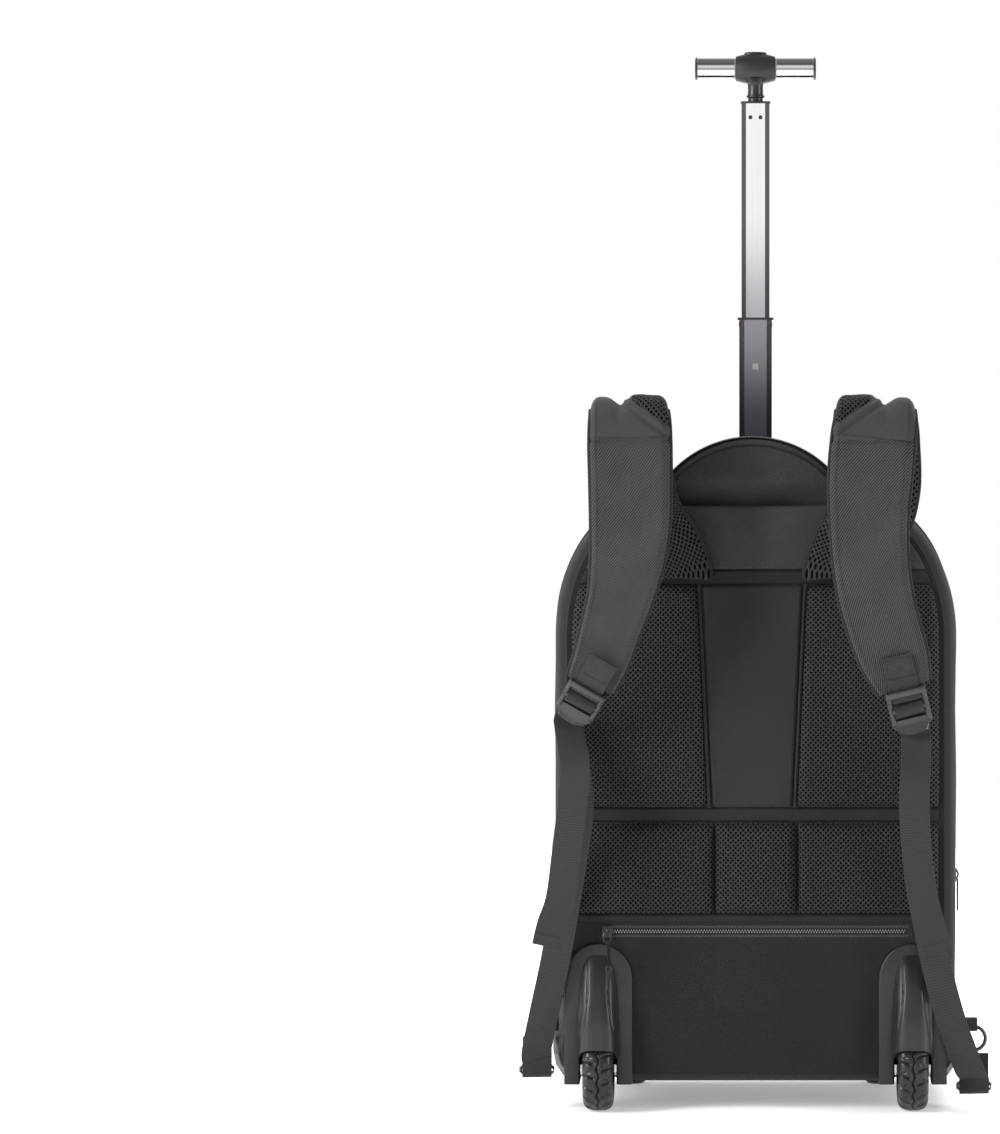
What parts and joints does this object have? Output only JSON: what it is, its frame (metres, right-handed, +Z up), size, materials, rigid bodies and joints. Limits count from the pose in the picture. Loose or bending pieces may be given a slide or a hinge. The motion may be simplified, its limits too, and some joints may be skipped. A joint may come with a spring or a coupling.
{
  "type": "wheeled backpack",
  "caption": "Soft wheeled backpack with padded shoulder straps, a telescopic T handle, a padded back panel and inset wheels.",
  "frame": {"origin": "on the floor, under the middle of the whole bag's extents", "axes": "+Z up along the handle, +X to the right of someone facing the harness, +Y from the harness to the plain front"},
  "size_m": [0.402, 0.268, 0.9039],
  "materials": {
    "twill": "charcoal polyester twill",
    "air_mesh": "black padded air mesh",
    "binding": "black grosgrain binding",
    "webbing": "charcoal ribbed webbing",
    "zipper": "black coil zipper",
    "housing": "dark grey moulded plastic",
    "buckle_plastic": "satin moulded plastic",
    "tyre": "black treaded rubber",
    "foot_rubber": "black rubber",
    "dark_metal": "black plated zinc",
    "chrome": "polished chrome",
    "silver": "polished anodised aluminium",
    "gunmetal": "dark anodised aluminium"
  },
  "bodies": {
    "bag": {"back_shell": "twill", "front_shell": "twill", "main_zipper": "zipper", "main_zip_slider": "dark_metal", "low_binding": "binding", "mid_binding": "binding", "top_binding": "binding", "top_band": "twill", "centre_panel": "twill", "mesh_pad_left": "air_mesh", "mesh_pad_right": "air_mesh", "lumbar_pad": "air_mesh", "pocket_zipper": "zipper", "pocket_slider": "dark_metal", "rear_dome": "twill", "dome_zipper": "zipper", "wheel_housing_left": "housing", "corner_guard_left": "housing", "wheel_housing_right": "housing", "corner_guard_right": "housing", "axle_left": "chrome", "axle_right": "chrome", "front_foot_left": "foot_rubber", "front_foot_right": "foot_rubber", "handle_sleeve": "housing", "shoulder_strap_left": "twill", "buckle_left": "buckle_plastic", "strap_tab_left": "webbing", "webbing_left": "webbing", "d_ring_left": "dark_metal", "ring_tab_left": "webbing", "snap_hook_left": "dark_metal", "shoulder_strap_right": "twill", "buckle_right": "buckle_plastic", "strap_tab_right": "webbing", "webbing_right": "webbing", "d_ring_right": "dark_metal", "ring_tab_right": "webbing", "snap_hook_right": "dark_metal"},
    "middle_stage": {"middle_tube": "gunmetal", "lock_button": "housing", "middle_collar": "housing"},
    "upper_stage": {"upper_tube": "silver", "rivet_left": "chrome", "rivet_right": "chrome", "handle_hub": "housing", "grip_bar_left": "chrome", "grip_cap_left": "housing", "grip_bar_right": "chrome", "grip_cap_right": "housing"},
    "release": {"push_button": "housing"},
    "wheel_left": {"wheel_core_left": "housing", "tyre_left": "tyre"},
    "wheel_right": {"wheel_core_right": "housing", "tyre_right": "tyre"}
  },
  "joints": [
    {"name": "middle_slide", "type": "slide", "parent": "bag", "child": "middle_stage", "axis": [0, 0, 1], "range_m": [-0.146, 0]},
    {"name": "upper_slide", "type": "slide", "parent": "middle_stage", "child": "upper_stage", "axis": [0, 0, 1], "range_m": [-0.168, 0]},
    {"name": "release_press", "type": "slide", "parent": "upper_stage", "child": "release", "axis": [0, 0, 1], "range_m": [-0.0025, 0], "stiffness_N_per_m": 600, "springref_m": 0.001},
    {"name": "wheel_left_spin", "type": "hinge", "parent": "bag", "child": "wheel_left", "pos_m": [-0.1336, -0.05405, 0.036], "axis": [1, 0, 0], "continuous": true},
    {"name": "wheel_right_spin", "type": "hinge", "parent": "bag", "child": "wheel_right", "pos_m": [0.1336, -0.05405, 0.036], "axis": [1, 0, 0], "continuous": true}
  ]
}
